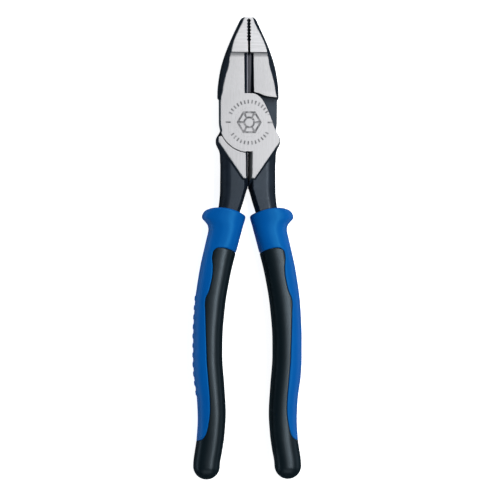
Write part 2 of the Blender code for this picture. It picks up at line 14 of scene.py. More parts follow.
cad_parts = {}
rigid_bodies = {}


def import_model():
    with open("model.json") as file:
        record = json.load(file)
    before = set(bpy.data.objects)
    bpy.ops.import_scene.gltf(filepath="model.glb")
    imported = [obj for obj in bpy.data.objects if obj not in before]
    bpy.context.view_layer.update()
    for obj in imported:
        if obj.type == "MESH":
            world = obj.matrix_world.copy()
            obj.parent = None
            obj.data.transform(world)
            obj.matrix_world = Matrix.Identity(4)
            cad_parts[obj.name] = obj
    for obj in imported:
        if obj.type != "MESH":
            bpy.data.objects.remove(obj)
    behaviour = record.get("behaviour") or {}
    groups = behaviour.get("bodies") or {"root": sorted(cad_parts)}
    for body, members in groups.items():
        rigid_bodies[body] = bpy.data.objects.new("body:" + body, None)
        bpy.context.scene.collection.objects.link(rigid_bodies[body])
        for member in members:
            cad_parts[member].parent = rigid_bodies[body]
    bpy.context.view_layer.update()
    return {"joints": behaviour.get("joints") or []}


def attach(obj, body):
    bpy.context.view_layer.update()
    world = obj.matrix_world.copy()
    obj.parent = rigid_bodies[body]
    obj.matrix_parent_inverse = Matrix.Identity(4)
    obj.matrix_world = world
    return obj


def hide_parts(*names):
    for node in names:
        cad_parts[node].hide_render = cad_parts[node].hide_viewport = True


MM = 0.001

# ---- driving dimensions (mm) ---------------------------------------------
FACE_Z = 7.94               # half of the head's thickness
HUB_R = 15.4                # round hub of the lap joint
HUB_WALL_R = 15.7           # concave wall that the other half's hub turns in
EAR_ANGLE = 333.5           # where that wall ends at the ear
LAP_GAP = 0.1               # running gap between the two laps
JAW_GAP = 0.3               # gap between the closed jaws
LAP_STEP = 0.02             # how much more each half is cut back behind the lap
SLOT_HALF = 2.35            # half-width of the slot over the cutting knives
SLOT_TOP, SLOT_BOTTOM = 35.7, 15.0
KNIFE_HALF, KNIFE_TOP_Z = 1.4, 3.5      # how far the knives' flats reach from the middle, and their height
RIGHT_KNIFE = [(SLOT_HALF, 4.9), (1.55, 3.65), (1.35, 3.45), (0.1, 3.4)]    # its section, as (X, Z)
LEFT_KNIFE = [(SLOT_HALF, 4.9), (1.05, 3.65), (0.85, 3.45), (0.1, 3.4)]
NOSE_SLIT = 0.58            # half of the opening between the gripping faces
NOSE_WEB = 2.6              # half-thickness of the middle part where the gripping faces meet
TEETH, TOOTH_PITCH, TOOTH_DEPTH, FIRST_TOOTH_Y = 7, 1.66, 0.55, 52.6
CROTCH_GAP = 0.2            # half of the narrowest gap between the halves under the hub
RIVET_R, RIVET_HEAD_R, RIVET_HEAD_Z = 5.4, 7.4, 5.9
RIVET_GAP = 0.02
SHELL = 1.8                 # how deep the soft moulding is let into the hard one
SOFT_GAP = 0.2              # gap between the two mouldings
SEAM_DEPTH, SEAM_ANGLE = 0.32, 4.5   # rounded groove where the two mouldings meet
TANG_GAP = 0.2              # gap between tang and sleeve
RIBS, RIB_PITCH, FIRST_RIB_Y, RIB_HALF, RIB_PROUD, RIB_HALF_Z = 11, 4.9, -90.5, 1.35, 0.38, 3.9
RIB_FADE = 1.2              # length over which a rib sinks into the grip at each end
EDGE_BEVEL = 0.26           # width of the broken edge round the ground faces
FAR = 90.0                  # well outside the tool, for cutters
ABOVE = 12                  # a height above the head's faces, for cutters
LAP_FAR, LAP_JOIN = 14, 3   # how far the bodies that shape the lap reach past it, and into each other
HOLE_REACH = 2              # how far the rivet's hole is cut past the head's faces
PAST_MIDDLE = 3.0           # how far the tooth cutter reaches into the empty side of the jaws
RIVET_SIDES = 96
MERGE_M = 1e-6              # points nearer to each other than this, in metres, are one point

# ---- outlines: (Y, value) from the nose to the handle's end ---------------
HEAD_OUTER = [(54.4, 3.1), (53.9, 3.8), (51.0, 5.3), (48.0, 6.72), (45.7, 7.8), (41.6, 9.6), (37.5, 11.25),
              (33.3, 12.75), (29.2, 13.95), (25.1, 14.8), (21.0, 15.4), (16.8, 15.8), (12.9, 15.87),
              (11.7, 15.2), (6.0, 15.15), (0.0, 15.1), (-2.5, 14.8), (-4.3, 14.4), (-6.0, 15.3),
              (-8.2, 16.5), (-10.0, 16.6), (-12.0, 16.0), (-14.2, 14.9), (-17.0, 14.4), (-36.0, 14.2)]
LEFT_INSET = [(54.4, 1.4), (48.0, 1.55), (42.9, 1.75), (37.5, 2.45), (32.0, 3.0), (28.0, 3.15), (22.2, 2.9),
              (15.0, 2.0), (12.5, 1.2), (11.0, 0.4), (-5.0, 0.45), (-10.0, 0.9), (-36.0, 1.2)]
RIGHT_INSET = [(54.4, 1.9), (48.0, 2.1), (42.9, 2.2), (37.5, 2.4), (32.0, 2.95), (28.0, 3.15), (22.2, 3.0),
               (15.0, 2.2), (12.5, 1.3), (11.0, 0.4), (-5.0, 0.45), (-10.0, 0.9), (-36.0, 1.2)]
FACE_PROFILE = [(58.0, 4.1), (36.2, 7.15), (36.0, 6.5), (35.47, 6.1), (34.66, 5.75), (33.8, 5.55),
                (32.8, 5.48), (16.0, FACE_Z), (-36.5, FACE_Z)]
LEDGE_Y = 36.1              # middle of the ledge under the nose
SIDE_OVER_FACE = 1.25       # height of the quarter ellipse of the head's side over that of the ground face,
SIDE_OVER_INSET = 2.5       # and its width over the inset, so that grinding ends at the inset
THINNEST_FACE = 4.6         # below this height of the ground face the side gets no thinner
CORE_HALF = 0.1             # half of what is left flat between the two rounded sides where they are widest
HUB_SHOULDER = [(15.4, -0.15), (15.38, 0.5), (14.7, 3.0), (13.3, 5.3), (11.1, 7.2), (8.5, 8.6), (4.6, 10.4),
                (0.7, 11.9), (-2.7, 13.0), (-4.2, 13.6)]
JAW_HEEL = [(13.8, -7.5), (13.2, -10.5), (12.8, -14.1), (11.0, 1 - FAR)]
EAR = [(-7.3, 15.6), (-7.4, FAR - 1)]
LEFT_LAP_Y = -4.25          # where the lap ends on the left, level with the end of the hub's edge there
HUB_LEFT = (270.5, 196.0)   # angles between which the hub's edge runs on the left
WALL_BY_JAW = (90.6, 118.0)     # and those of the concave wall under the jaw and above the handle
WALL_BY_HANDLE = (270.6, EAR_ANGLE)
DIAGONAL = ((14.4, -11.9), (2.65, -28.9))   # outer edge of the ground face above each handle, as (X, Y)
DIAGONAL_END = -28.6        # where that edge turns level and runs to the slot
DIAGONAL_SLOPE = 35.0
NECK_OUTER = [(-8.0, 14.9), (-11.0, 15.0), (-15.0, 14.5), (-22.0, 14.3), (-35.0, 14.4), (-41.0, 14.85),
              (-45.0, 15.4), (-52.0, 15.9), (-62.0, 17.7), (-78.0, 21.0), (-95.0, 23.6), (-112.0, 24.3),
              (-130.0, 23.3), (-148.0, 21.5), (-168.0, 22.2)]
NECK_INNER = [(-8.0, 0.25), (-32.8, 0.25), (-34.2, 0.4), (-35.7, 0.9), (-38.8, 1.8), (-41.0, 2.4),
              (-45.0, 3.7), (-52.0, 5.6), (-62.0, 8.4), (-78.0, 12.8), (-95.0, 15.6), (-112.0, 17.2),
              (-130.0, 16.9), (-148.0, 15.8), (-168.0, 17.6)]
CROTCH_FLARE = [(-15.0, 1.5), (-26.5, 1.42), (-29.5, 1.0), (-33.2, 0.2)]
CROTCH_HALF_Z, CROTCH_POWER = 10.0, 3
NECK_HALF_Z = [(-8.0, 6.5), (-32.0, 6.5), (-45.0, 6.1), (-58.0, 5.2), (-80.0, 4.6), (-120.0, 4.0),
               (-168.0, 3.5)]
GRIP_OUTER = [(-44.2, 20.2), (-44.8, 21.4), (-45.5, 22.3), (-46.5, 23.1), (-47.6, 23.6), (-48.6, 23.75),
              (-49.6, 23.4), (-50.7, 22.4), (-51.7, 21.5), (-52.7, 20.85), (-53.8, 20.5), (-54.8, 20.38),
              (-55.9, 20.45), (-58.4, 21.0), (-62.0, 21.85), (-78.0, 25.25), (-95.0, 27.45),
              (-112.0, 28.15), (-122.0, 28.15), (-130.0, 27.75), (-144.0, 26.05), (-153.0, 25.7),
              (-163.0, 26.25), (-177.2, 28.0)]
GRIP_INNER = [(-48.0, 1.15), (-53.4, 2.45), (-61.6, 4.65), (-78.0, 8.85), (-95.0, 11.7), (-112.0, 13.0),
              (-120.0, 13.05), (-136.0, 11.95), (-150.0, 11.2), (-161.0, 11.85), (-169.0, 12.95),
              (-177.2, 14.25)]
GRIP_HALF_Z = [(-47.0, 7.6), (-55.0, 7.65), (-70.0, 7.75), (-110.0, 8.17), (-150.0, 7.85), (-177.2, 7.65)]
GRIP_CROWN = [(-48.0, 2.0), (-50.0, 1.6), (-53.0, 0.9), (-57.0, 0.2), (-62.0, 0.6), (-67.35, 2.9),
              (-71.0, 2.2), (-80.0, 0.0), (-177.2, 0.0)]
GRIP_LEAN = [(-48.0, 3.75), (-50.5, 3.1), (-55.0, 1.5), (-59.0, 0.5), (-63.0, 0.0), (-177.2, 0.0)]
OUTER_FULLER = -0.035       # share by which the grip is thicker on its outer side
SOFT_EDGE = [(-67.35, 0.22), (-67.9, 0.36), (-68.9, 0.43), (-71.0, 0.42), (-75.0, 0.27), (-79.0, 0.21),
             (-84.0, 0.23), (-87.0, 0.28), (-90.0, 0.41), (-92.5, 0.43), (-97.0, 0.36), (-105.0, 0.26),
             (-112.0, 0.20), (-130.0, 0.13), (-140.0, 0.16), (-148.0, 0.20), (-154.0, 0.29), (-159.5, 0.42),
             (-162.0, 0.58), (-163.2, 0.76), (-163.8, 0.95)]
SOFT_TOP, BLUE_END = SOFT_EDGE[0][0], SOFT_EDGE[-1][0]
COLLAR_TOP, COLLAR_ROUND = -48.0, 0.8
GRIP_BASE_Y, GRIP_END_Y = -177.2, -184.1
END_LENGTH = GRIP_BASE_Y - GRIP_END_Y
SECTION_POWER = 2.4         # superellipse power of the grip's section
ALL_SOFT = 4                # the edge's angle in degrees where the soft moulding goes round the whole grip
CORE_TOP = (-62.0, -64.0, -66.0)    # heights above the soft moulding at which the core it is cut by starts
CORE_PROUD = 1.0            # how far that core stands out of the grip
CORE_ANGLE = 1.5            # degrees by which that core is wider, for the gap beside the edge
CORE_LOW_Y = -150           # below this the core is lowered too, for the gap under the hard moulding

# ---- camera and studio ---------------------------------------------------
VIEW_YAW, VIEW_ROLL = 5.0, 0.108    # degrees: how far to the tool's left the camera stands, and its roll
VIEW_DISTANCE = 1.0
VIEW_TARGET = (0.00123, -0.00067)
SENSOR, LENS = 36.0, 139.14


def smooth(points, y):
    """Smooth value at y through (y, value) pairs in falling order of y."""
    if y >= points[0][0]:
        return points[0][1]
    if y <= points[-1][0]:
        return points[-1][1]
    i = next(k for k in range(len(points) - 1) if points[k + 1][0] <= y)

    def slope(k):
        if k in (0, len(points) - 1):
            return 0.0
        before = (points[k][1] - points[k - 1][1]) / (points[k][0] - points[k - 1][0])
        after = (points[k + 1][1] - points[k][1]) / (points[k + 1][0] - points[k][0])
        return 0.0 if before * after <= 0 else 2 * before * after / (before + after)

    (y0, v0), (y1, v1) = points[i], points[i + 1]
    h = y1 - y0
    t = (y - y0) / h
    return (v0 * (1 + 2 * t) * (1 - t) ** 2 + slope(i) * h * t * (1 - t) ** 2
            + v1 * t * t * (3 - 2 * t) + slope(i + 1) * h * t * t * (t - 1))


def flat_between(points, y):
    """Straight-line value at y through (y, value) pairs in falling order of y."""
    for (y0, v0), (y1, v1) in zip(points, points[1:]):
        if y >= y1:
            return v0 + (v1 - v0) * min(1.0, (y0 - y) / (y0 - y1))
    return points[-1][1]


def arc(radius, start, end, steps):
    """Points on a circle about the rivet, from one angle to another in degrees."""
    angles = [math.radians(start + (end - start) * k / steps) for k in range(steps + 1)]
    return [(radius * math.cos(a), radius * math.sin(a)) for a in angles]


def rounded_line(points, step):
    """The (Y, X) points of an outline joined by a smooth curve, as (X, Y) points about step apart."""
    ys = [p[0] for p in points]
    made = []
    for y0, y1 in zip(ys, ys[1:]):
        pieces = max(1, round((y0 - y1) / step))
        made += [y0 + (y1 - y0) * k / pieces for k in range(pieces)]
    return [(smooth(points, y), y) for y in [*made, ys[-1]]]


ROUNDING = 1e-6             # share of a step by which a stretch may be longer and still count as whole steps


def filled(stations, step):
    """The stations, with more between them wherever they are over step apart."""
    made = [stations[0]]
    for y0, y1 in zip(stations, stations[1:]):
        pieces = max(1, math.ceil((y0 - y1) / step - ROUNDING))
        made += [y0 + (y1 - y0) * (k + 1) / pieces for k in range(pieces)]
    return made


# ---- mesh helpers --------------------------------------------------------
def collection(name):
    made = bpy.data.collections.new(name)
    bpy.context.scene.collection.children.link(made)
    return made


def finish_mesh(name, bm):
    bmesh.ops.remove_doubles(bm, verts=bm.verts, dist=MERGE_M)
    bmesh.ops.recalc_face_normals(bm, faces=bm.faces)
    mesh = bpy.data.meshes.new(name)
    bm.to_mesh(mesh)
    bm.free()
    return mesh


def helper(name, mesh):
    """A cutter or a blank: an object that Booleans use, removed at the end."""
    obj = bpy.data.objects.new(name, mesh)
    HELPERS.objects.link(obj)
    return obj


def loft(name, rings, flat_ends=False):
    """A closed solid through rings of points that are symmetric about Z = 0 and start on that plane.
    Ends that aren't flat are closed by strips that run straight across from +Z to -Z."""
    bm = bmesh.new()
    rows = [[bm.verts.new([c * MM for c in p]) for p in ring] for ring in rings]
    count = len(rings[0])
    for a, b in zip(rows, rows[1:]):
        for k in range(count):
            n = (k + 1) % count
            bm.faces.new((a[k], a[n], b[n], b[k]))
    for row in (rows[0], rows[-1]):
        if flat_ends:
            bm.faces.new(row)
            continue
        for k in range(count // 2):
            corners = (row[k], row[k + 1], row[-(k + 1)], row[-k] if k else row[0])
            bm.faces.new(list(dict.fromkeys(corners)))
    return helper(name, finish_mesh(name, bm))


def prism(name, outline, low, high):
    """A flat outline of (X, Y) points made solid from Z = low to Z = high."""
    bm = bmesh.new()
    rows = [[bm.verts.new((x * MM, y * MM, z * MM)) for x, y in outline] for z in (low, high)]
    for k in range(len(outline)):
        n = (k + 1) % len(outline)
        bm.faces.new((rows[0][k], rows[0][n], rows[1][n], rows[1][k]))
    for row in rows:
        bm.faces.new(row)
    return helper(name, finish_mesh(name, bm))


def bar(name, section, start, end, turn=0.0, at=(0.0, 0.0)):
    """A section of (across, Z) points run along Y from start to end, then turned about Z and moved."""
    bm = bmesh.new()
    rows = [[bm.verts.new((x * MM, y * MM, z * MM)) for x, z in section] for y in (start, end)]
    for k in range(len(section)):
        n = (k + 1) % len(section)
        bm.faces.new((rows[0][k], rows[0][n], rows[1][n], rows[1][k]))
    for row in rows:
        bm.faces.new(row)
    obj = helper(name, finish_mesh(name, bm))
    move = Matrix.Translation((at[0] * MM, at[1] * MM, 0)) @ Matrix.Rotation(math.radians(turn), 4, "Z")
    obj.data.transform(move)
    return obj


def turned(name, profile, sides):
    """A solid of revolution about Z from (radius, Z) points, listed from top to bottom."""
    bm = bmesh.new()
    line = [bm.verts.new((r * MM, 0, z * MM)) for r, z in profile]
    edges = [bm.edges.new(pair) for pair in zip(line, line[1:])]
    bmesh.ops.spin(bm, geom=line + edges, cent=(0, 0, 0), axis=(0, 0, 1), angle=math.tau, steps=sides,
                   use_merge=True, use_normal_flip=False, use_duplicate=False)
    return helper(name, finish_mesh(name, bm))


def combine(target, other, operation):
    step = target.modifiers.new(operation.lower(), "BOOLEAN")
    step.operation = operation
    step.object = other
    step.solver = "EXACT"


def baked(obj):
    """The object's evaluated mesh, and the object itself removed."""
    bpy.context.view_layer.update()
    mesh = bpy.data.meshes.new_from_object(obj.evaluated_get(bpy.context.evaluated_depsgraph_get()))
    bpy.data.objects.remove(obj)
    return mesh


def clear_helpers():
    for obj in list(HELPERS.objects):
        bpy.data.objects.remove(obj)


SHARP_DEG = 32              # edges that turn more than this are shaded sharp
FACE_WEIGHT = 80            # how strongly large faces pull the shading of their edges


def piece(name, mesh, body, node, materials, half_turn=False):
    """A finished piece in its place, on its body, standing for its CAD node."""
    mesh = mesh.copy()
    mesh.name = name
    spin = Matrix.Rotation(math.pi if half_turn else 0.0, 4, "Y")
    mesh.transform(Matrix.Translation(PIVOT) @ spin)
    for material in materials:
        mesh.materials.append(material)
    mesh.shade_smooth()
    mesh.set_sharp_from_angle(angle=math.radians(SHARP_DEG))
    obj = bpy.data.objects.new(name, mesh)
    bpy.context.scene.collection.objects.link(obj)
    weigh = obj.modifiers.new("face_weighted_normals", "WEIGHTED_NORMAL")
    weigh.keep_sharp = True
    weigh.weight = FACE_WEIGHT
    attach(obj, body)
    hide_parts(node)
    return obj


# ---- steel ---------------------------------------------------------------
BRIGHT, SCALE, DARK_GROUND, PAINTED_LIGHT_WALL = 0, 1, 2, 3    # material indexes of a forging
PAINTED_LIGHT_WALL_BOTTOM, PAINTED_LIGHT_WALL_TOP, PAINTED_LIGHT_WALL_HALF = -30.0, -15.0, 2.5    # the wall of the slot under the hub that is painted lighter, as painted light
HUB_SIDE_X, HUB_SIDE_BOTTOM, HUB_SIDE_TOP = 14.3, -4.2, 11.6    # the bright flats at the hub's sides
ON_FACE = 0.7               # share of a normal along an axis from which a face counts as facing that way
ON_SIDE = 0.75
ON_WALL = 0.5
ON_PLANE = 0.06             # how far under a ground plane a face's centre may lie and still be part of it
HEAD_STEP, NECK_STEP, TANG_STEP = 1.3, 1.2, 6.0     # distances between sections
SIDE_STEPS, NECK_SIDE_STEPS, CROTCH_STEPS = 12, 10, 12
HUB_STEPS, JAW_WALL_STEPS, HANDLE_WALL_STEPS = 48, 16, 40
SHOULDER_STEP = 0.8
NECK_STATIONS = filled([-8, -32.8, -58], NECK_STEP) + filled([-62, -158], TANG_STEP) + [-163, -166]
TANG_END_Y = -168
POCKET_TOP = -37            # above the sleeve, where the pocket for the tang starts
TIP_ROUND = 0.7
NECK_ROUND, NECK_ROUND_SHARE = 5.5, 0.42    # width of the rounded outer side, and its largest share
NECK_LEAN, NECK_LEAN_SHARE = 1.5, 0.2       # the same for how far the inner wall leans back
WALL_SHARE, WALL_CURVE, WALL_STEPS = 0.88, 1.6, 6
WALL_EDGE = [(0.25, 0.95), (0.7, 1.0)]      # its rounded edge, as (X, share of the half-thickness)


def side_arc(side, round_x, half_z, steps):
    """Half of a section's side from Z = 0 up: a quarter ellipse that ends round_x inside the side."""
    angles = [math.radians(90 * k / steps) for k in range(steps + 1)]
    return [(side - round_x * (1 - math.cos(a)), half_z * math.sin(a)) for a in angles]


def inner_side(side, slope_x, half_z):
    """Half of a neck's inner side from Z = 0 up: a nearly flat wall that leans back, and a rounded edge."""
    shares = [k / WALL_STEPS for k in range(WALL_STEPS + 1)]
    wall = [(side + slope_x * share ** WALL_CURVE, WALL_SHARE * half_z * share) for share in shares]
    return wall + [(side + slope_x + x, share * half_z) for x, share in WALL_EDGE]


def section_ring(y, outer, inner):
    """A closed ring at y from the upper halves of its outer and inner sides."""
    upper = outer + inner[::-1]
    lower = [(x, -z) for x, z in upper[1:-1]][::-1]
    return [(x, y, z) for x, z in upper + lower]


def head_blank():
    """Both heads as one barrel-sided body, before the faces are ground flat."""
    rings = []
    for y in filled([p[0] for p in HEAD_OUTER], HEAD_STEP):
        half = SIDE_OVER_FACE * max(smooth(FACE_PROFILE, y), THINNEST_FACE)
        side = smooth(HEAD_OUTER, y)
        widest = side - CORE_HALF
        left, right = (side_arc(side, min(SIDE_OVER_INSET * smooth(inset, y), widest), half, SIDE_STEPS)
                       for inset in (LEFT_INSET, RIGHT_INSET))
        front = (right + [(-x, z) for x, z in left[::-1]])[:-1]
        rings.append([(x, y, z) for x, z in front] + [(-x, y, -z) for x, z in front])
    return loft("head_blank", rings, flat_ends=True)


def neck_blank(grow=0.0):
    """The right neck and tang, or with grow the pocket that the tang sits in."""
    stations = [y for y in NECK_STATIONS if not grow or y <= POCKET_TOP] + [TANG_END_Y - grow]
    rings = []
    for y in stations:
        tip = TIP_ROUND if y == TANG_END_Y else 0.0
        out_x, in_x = smooth(NECK_OUTER, y) + grow - tip, smooth(NECK_INNER, y) - grow + tip
        half = smooth(NECK_HALF_Z, y) + grow - tip
        wide = out_x - in_x
        outer = side_arc(out_x, min(NECK_ROUND, wide * NECK_ROUND_SHARE), half, NECK_SIDE_STEPS)
        inner = inner_side(in_x, min(NECK_LEAN, wide * NECK_LEAN_SHARE), half)
        rings.append(section_ring(y, outer, inner))
    return loft("neck_blank", rings)


def face_grinding():
    """Everything between the two ground faces: a side profile run across the tool."""
    section = FACE_PROFILE + [(y, -z) for y, z in FACE_PROFILE[::-1]]
    return bar("face_grinding", section, -FAR, FAR, turn=90)


def front_plan():
    """What the front half covers on the viewer's side of the lap: left jaw, hub and right handle."""
    gap = JAW_GAP / 2
    shoulder = rounded_line(HUB_SHOULDER, SHOULDER_STEP)
    return ([(-gap, FAR)] + shoulder + [(FAR, shoulder[-1][1]), (FAR, -2 * FAR), (gap, -2 * FAR)]
            + arc(HUB_R, *HUB_LEFT, HUB_STEPS) + [(-FAR, LEFT_LAP_Y), (-FAR, FAR)])


def jaw_plan():
    """What the front half's jaw covers behind the lap."""
    gap = JAW_GAP / 2 + LAP_STEP
    wall = arc(HUB_WALL_R, *WALL_BY_JAW, JAW_WALL_STEPS)
    return [(-gap, FAR - 1)] + wall + [(x, y) for y, x in JAW_HEEL] + [(1 - FAR, FAR - 1)]


def handle_plan():
    """What the front half's handle covers behind the lap."""
    gap = JAW_GAP / 2 + LAP_STEP
    wall = arc(HUB_WALL_R, *WALL_BY_HANDLE, HANDLE_WALL_STEPS)
    return wall + [(x, y) for y, x in EAR] + [(FAR - 1, 1 - 2 * FAR), (gap, 1 - 2 * FAR)]


def slope_cutter(turn, at):
    """A slope down from the ground face on both faces, along a line through at."""
    start, end = (z * math.tan(math.radians(DIAGONAL_SLOPE)) for z in (FACE_Z - ABOVE, FACE_Z))
    section = [(start, ABOVE), (end, 0), (start, -ABOVE), (FAR, -ABOVE), (FAR, ABOVE)]
    return bar("slope_cutter", section, -FAR, FAR, turn=turn, at=at)


def neck_slopes():
    """The slopes from the ground face down to the right neck: a diagonal one and a short level one."""
    (x0, y0), (x1, y1) = DIAGONAL
    angle = math.degrees(math.atan2(y1 - y0, x1 - x0)) + 90
    return [slope_cutter(angle, (x0, y0)), slope_cutter(-90, (0, DIAGONAL_END))]


def knife_slot():
    """The slot between the jaws, which leaves a cutting knife with a narrow bevel on each."""
    side = [(SLOT_HALF, ABOVE), *RIGHT_KNIFE] + [(x, -z) for x, z in LEFT_KNIFE[::-1]] + [(SLOT_HALF, -ABOVE)]
    return bar("knife_slot", side + [(-x, -z) for x, z in side], SLOT_BOTTOM, SLOT_TOP)


def crotch_slot():
    """The slot under the hub: each inner side bulges towards the other at mid-thickness."""
    heights = [CROTCH_HALF_Z * k / CROTCH_STEPS for k in range(CROTCH_STEPS + 1)]
    rings = []
    for y in filled([-15.0, -28.0, -33.2], NECK_STEP):
        flare = smooth(CROTCH_FLARE, y)
        side = [(CROTCH_GAP + flare * (z / FACE_Z) ** CROTCH_POWER, z) for z in heights]
        rings.append(section_ring(y, side, [(-x, z) for x, z in side]))
    return loft("crotch_slot", rings, flat_ends=True)


def tooth_cutter(low, high):
    """The opening between the gripping faces, with the grooves across the left jaw's one."""
    top = FIRST_TOOTH_Y + TOOTH_PITCH / 2
    outline = [(PAST_MIDDLE, top), (-NOSE_SLIT, top)]
    for k in range(TEETH):
        y = FIRST_TOOTH_Y - k * TOOTH_PITCH
        outline += [(-NOSE_SLIT - TOOTH_DEPTH, y), (-NOSE_SLIT, y - TOOTH_PITCH / 2)]
    outline += [(-NOSE_SLIT, SLOT_TOP - 1), (PAST_MIDDLE, SLOT_TOP - 1)]
    return prism("tooth_cutter", outline, low, high)


def spool_profile(grow, reach):
    """The rivet's outline, or with grow the hole for it: a shank between two countersunk heads."""
    slope = (RIVET_HEAD_R - RIVET_R) / (FACE_Z - RIVET_HEAD_Z)
    top_r = RIVET_HEAD_R + grow + (reach - FACE_Z) * slope
    return [(0, reach), (top_r, reach), (RIVET_R + grow, RIVET_HEAD_Z), (RIVET_R + grow, -RIVET_HEAD_Z),
            (top_r, -reach), (0, -reach)]


CLOSEST, SHORTEST_EDGE = 0.004, 0.2     # nearer points are merged, and shorter edges closed, before the bevel
FLAT_DEG, BROKEN_DEG = 0.2, 24      # faces that meet at less are one face, edges that turn more are broken
TEETH_HALF = 2.0            # the edges of the teeth, this near to the middle, stay sharp
RIVET_CLEAR = 1.0           # and so do those this near to the rivet's rim


def is_ground(face):
    """Whether a face lies on one of the ground planes of the head."""
    centre = face.calc_center_median() / MM
    plane = flat_between(FACE_PROFILE, centre.y)
    return abs(face.normal.z) > ON_FACE and abs(centre.z) > plane - ON_PLANE


def surface_of(face):
    """The finish of a face of the forging, by where it is and which way it faces."""
    centre, facing = face.calc_center_median() / MM, face.normal.x
    if is_ground(face):
        return BRIGHT
    if abs(facing) > ON_SIDE and abs(centre.x) > HUB_SIDE_X and HUB_SIDE_BOTTOM < centre.y < HUB_SIDE_TOP:
        return BRIGHT
    if SLOT_BOTTOM < centre.y < SLOT_TOP and abs(centre.x) < KNIFE_HALF and abs(centre.z) < KNIFE_TOP_Z:
        return DARK_GROUND
    # painted light: one wall of the slot under the hub is given a lighter grey
    if facing < -ON_WALL and 0 < centre.x < PAINTED_LIGHT_WALL_HALF and PAINTED_LIGHT_WALL_BOTTOM < centre.y < PAINTED_LIGHT_WALL_TOP and centre.z > 0:
        return PAINTED_LIGHT_WALL
    return SCALE


def is_broken(edge):
    """Whether an edge is a sharp outer one of a ground face, away from the rivet and the teeth."""
    if len(edge.link_faces) != 2 or not edge.is_convex or edge.calc_face_angle() < math.radians(BROKEN_DEG):
        return False
    centre = (edge.verts[0].co + edge.verts[1].co) / 2 / MM
    if centre.xy.length < RIVET_HEAD_R + RIVET_CLEAR:
        return False
    if abs(centre.x) < TEETH_HALF and centre.y > SLOT_TOP:
        return False
    return sum(f.material_index == BRIGHT and abs(f.normal.z) > ON_FACE for f in edge.link_faces) == 1


def dressed(mesh):
    """Sets each face's finish, and breaks the sharp outer edges as a grinder and a file would."""
    bm = bmesh.new()
    bm.from_mesh(mesh)
    bmesh.ops.remove_doubles(bm, verts=bm.verts, dist=CLOSEST * MM)
    bmesh.ops.dissolve_limit(bm, angle_limit=math.radians(FLAT_DEG), verts=bm.verts, edges=bm.edges)
    bmesh.ops.dissolve_degenerate(bm, dist=SHORTEST_EDGE * MM, edges=bm.edges)
    for face in bm.faces:
        face.material_index = surface_of(face)
    edges = [edge for edge in bm.edges if is_broken(edge)]
    bmesh.ops.bevel(bm, geom=edges, offset=EDGE_BEVEL * MM, segments=2, material=BRIGHT, profile=0.5,
                    affect="EDGES", clamp_overlap=False, offset_type="OFFSET")
    bm.normal_update()
    made = bpy.data.meshes.new("dressed")
    bm.to_mesh(made)
    bm.free()
    return made


def half_forging():
    """One forging. Turned half a turn about the tool's long axis, the same mesh is the other one."""
    body = head_blank()
    combine(body, face_grinding(), "INTERSECT")
    for slope in neck_slopes():
        combine(body, slope, "DIFFERENCE")
    combine(body, neck_blank(), "UNION")
    keep = prism("keep", front_plan(), LAP_GAP / 2, LAP_FAR)
    combine(keep, prism("keep_jaw", jaw_plan(), -LAP_FAR, LAP_JOIN), "UNION")
    combine(keep, prism("keep_handle", handle_plan(), -LAP_FAR, LAP_JOIN), "UNION")
    body = helper("forging", baked(body))
    keep = helper("keep_all", baked(keep))
    combine(body, keep, "INTERSECT")
    teeth = [tooth_cutter(NOSE_WEB, ABOVE), tooth_cutter(-ABOVE, -NOSE_WEB)]
    hole = turned("rivet_hole", spool_profile(RIVET_GAP, FACE_Z + HOLE_REACH), RIVET_SIDES)
    for cutter in (knife_slot(), crotch_slot(), *teeth, hole):
        combine(body, cutter, "DIFFERENCE")
    return dressed(baked(body))


def rivet():
    return baked(turned("rivet_blank", spool_profile(0.0, FACE_Z), RIVET_SIDES))


# ---- grips ---------------------------------------------------------------
SHOWN_STEPS, SUNK_STEPS = 9, 18     # points on a section to each side of the seam
SEAM_SHARES = (0, 0.1, 0.3, 0.6, 1)     # and across half of the seam's width
NO_SEAM_DEPTH = -0.9        # surfaces sunk deeper than this have no seam
RIB_FULLNESS, RIB_ROUND = 1.7, 0.6      # how flat a rib's top is, and how steep its sides are
COLLAR_ANGLES = (90, 68, 45, 22, 0)
BODY_STEP, NECKED_STEP, RIB_STEP = 0.4, 1.0, 0.4    # distances between sections of the hard moulding,
SOFT_TOP_STEP, SOFT_STEP, SEAM_STEP = 0.35, 1.5, 0.3    # and of the soft one
SEAM_RINGS = [(0.75, 0.0), (0.55, 0.04), (0.38, 0.12), (0.21, 0.26)]    # (rise over the soft top, depth)
SEAM_ROUND_Y = 0.7          # how far down the soft moulding its rounded top edge reaches
RIBBED_TOP, RIBBED_END = -86.0, -146.0
END_ANGLES = [6, 12, 19, 26, 33, 40, 47, 54, 61, 67, 73, 78, 83, 87]
LOW_STATIONS = [-164.1, -165.5, -167.5, -170.0, -172.5, -175.0, -177.2]


def power(value):
    """The superellipse's power of a sine or cosine, with its sign kept."""
    return math.copysign(abs(value) ** (2 / SECTION_POWER), value)


